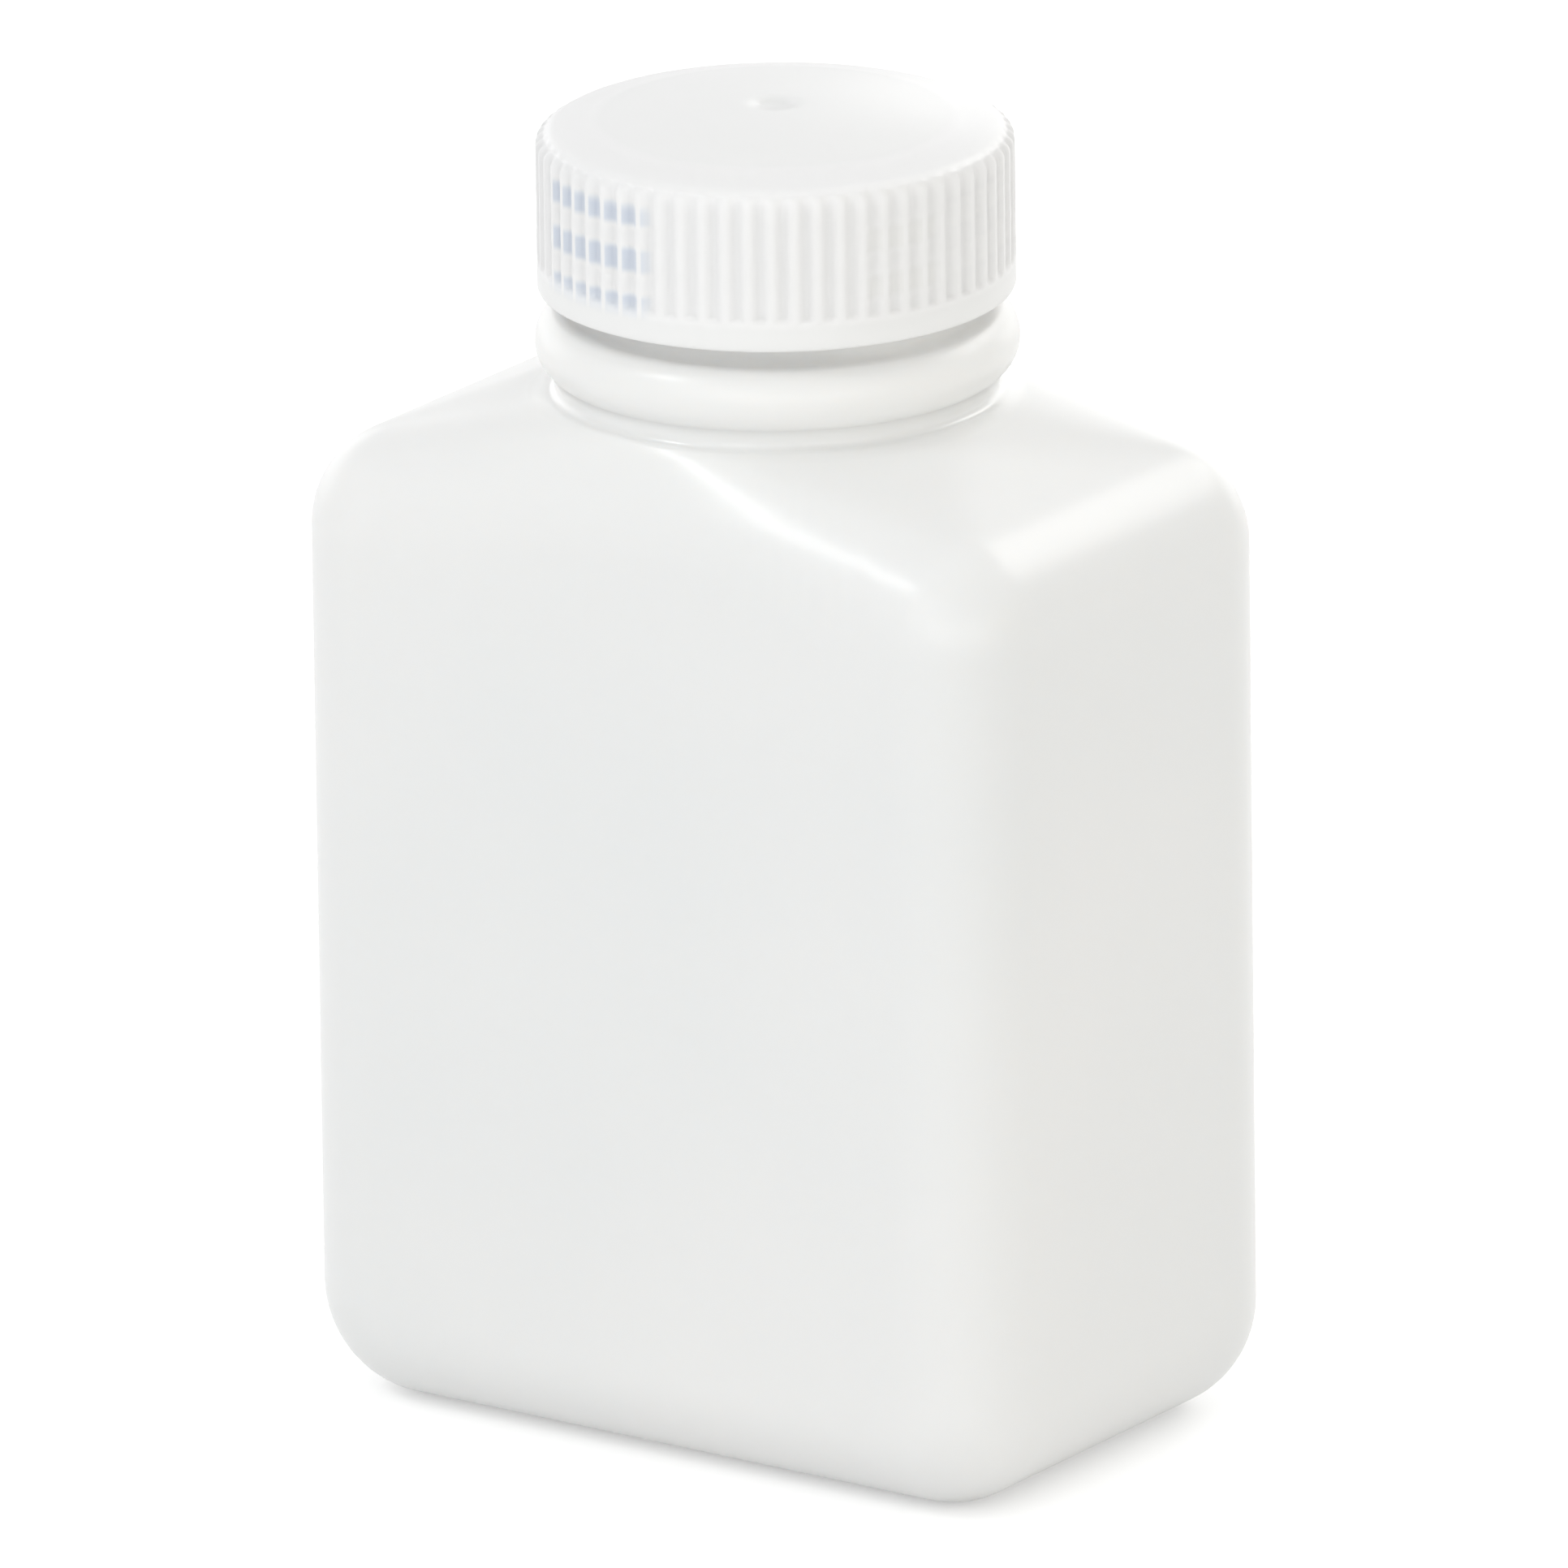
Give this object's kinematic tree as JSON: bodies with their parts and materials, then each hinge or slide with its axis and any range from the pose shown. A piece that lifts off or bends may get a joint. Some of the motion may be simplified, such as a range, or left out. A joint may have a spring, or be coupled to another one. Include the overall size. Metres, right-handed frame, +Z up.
{
  "type": "laboratory bottle",
  "caption": "Rectangular blow-moulded laboratory bottle with rounded edges, sloping shoulder, beaded round neck and a ribbed, domed screw closure; hollow, translucent plastic.",
  "frame": {"origin": "middle of the base, on the surface the bottle stands on", "axes": "+Z up along the neck's axis; the wide faces look along +Y and -Y, the narrow faces along +X and -X"},
  "size_m": [0.0756, 0.048, 0.1196],
  "materials": {
    "bottle_hdpe": "natural translucent high-density polyethylene, satin",
    "closure_pp": "natural translucent polypropylene, smooth"
  },
  "bodies": {
    "bottle": {"bottle": "bottle_hdpe"},
    "closure": {"closure": "closure_pp"}
  },
  "joints": [
    {"name": "closure_lift", "type": "slide", "parent": "bottle", "child": "closure", "axis": [0, 0, 1], "range_m": [0, 0.05]}
  ]
}
